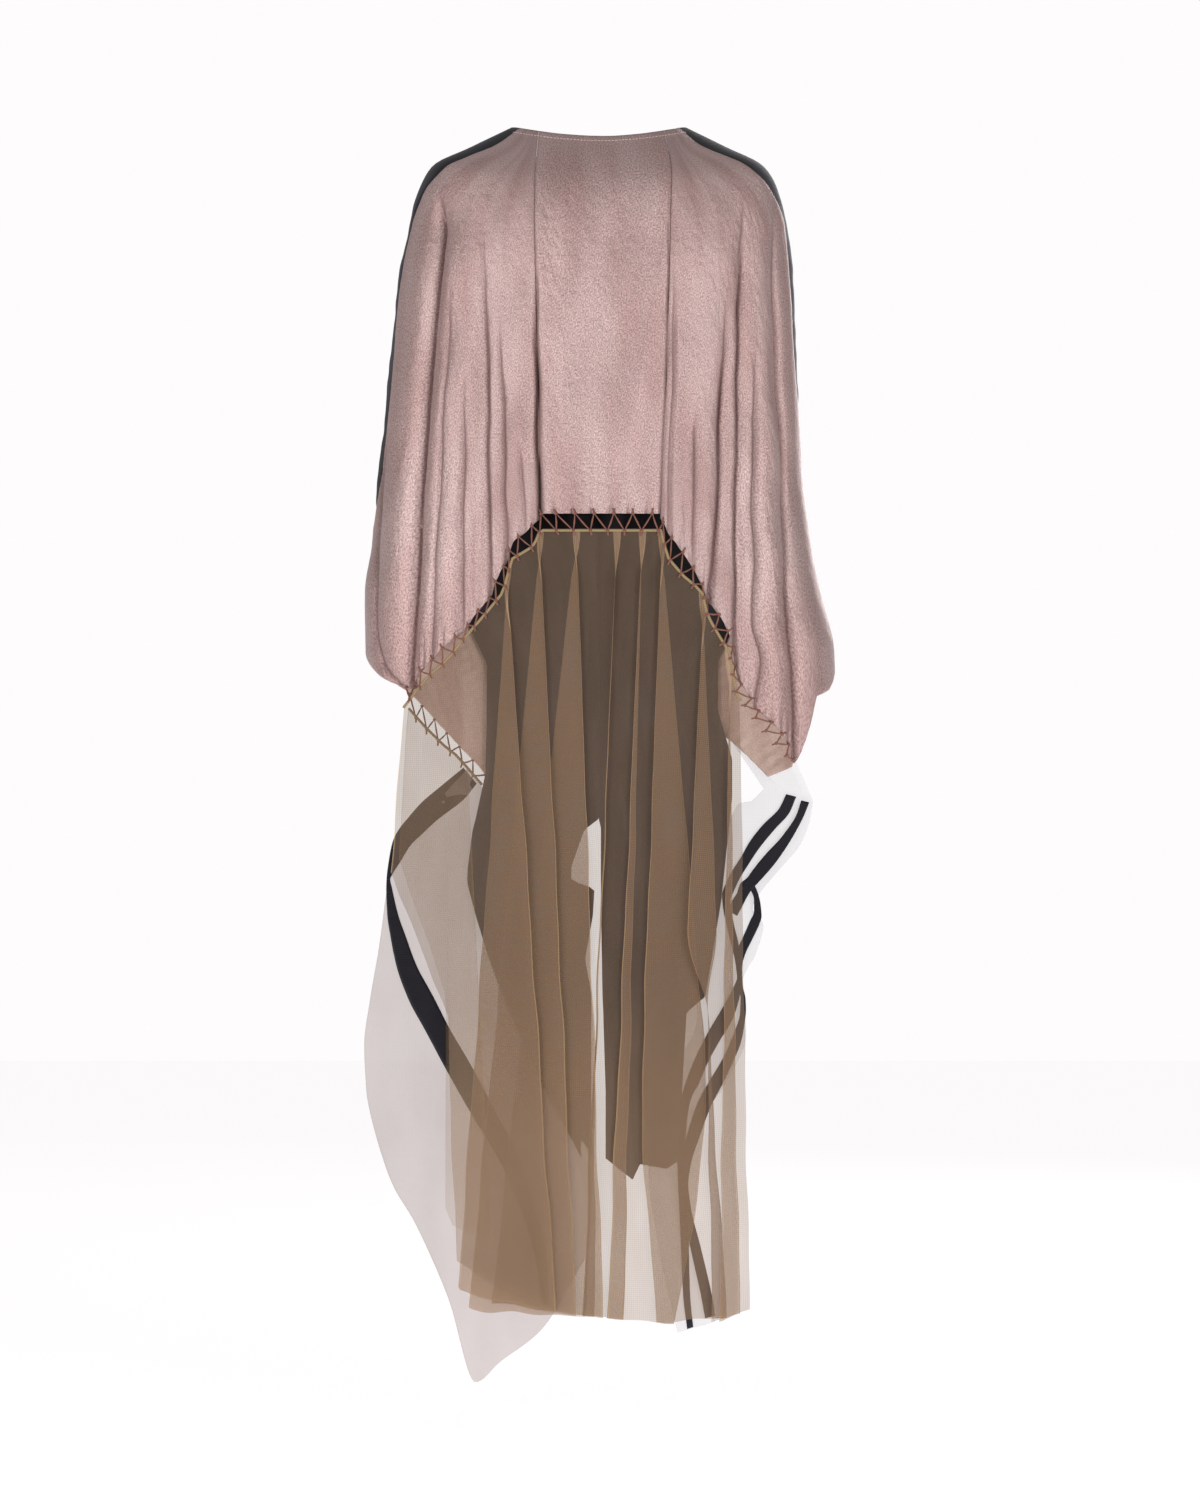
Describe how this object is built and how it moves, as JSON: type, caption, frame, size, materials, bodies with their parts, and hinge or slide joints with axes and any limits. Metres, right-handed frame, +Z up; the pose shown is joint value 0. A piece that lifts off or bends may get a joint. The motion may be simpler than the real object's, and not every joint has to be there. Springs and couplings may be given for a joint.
{
  "type": "cape",
  "caption": "Asymmetric waist-length satin cape, its back draped in long folds, with black silk fronts and a floor-length tulle tail hung from a knotted zigzag cord.",
  "frame": {"origin": "middle of the neck opening, level with the two points where the neckline meets the shoulder seams", "axes": "+Z up; -Y towards the pictured back; +Y towards the wearer's front; -X towards the wearer's left, the picture's left"},
  "size_m": [0.5862, 0.2776, 1.5678],
  "materials": {
    "satin": "dusty rose hammered satin",
    "silk": "matt black silk",
    "tulle": "tan fine net",
    "sheer_grey": "pale grey sheer",
    "sheer_white": "white sheer",
    "band": "black band",
    "cord": "rust twisted cord",
    "binding": "tan narrow binding"
  },
  "bodies": {
    "root": {"back_centre": "satin", "back_left": "satin", "back_right": "satin", "front_wing_left": "satin", "front_wing_right": "satin", "front_left": "silk", "front_right": "silk", "insertion_back": "cord", "insertion_side": "cord", "binding_back": "binding", "binding_side": "binding", "tulle_back": "tulle", "tulle_side_left": "tulle", "sheer_left": "sheer_grey", "band_left": "band", "sheer_right": "sheer_white", "band_right_inner": "band", "band_right_outer": "band"}
  },
  "joints": []
}
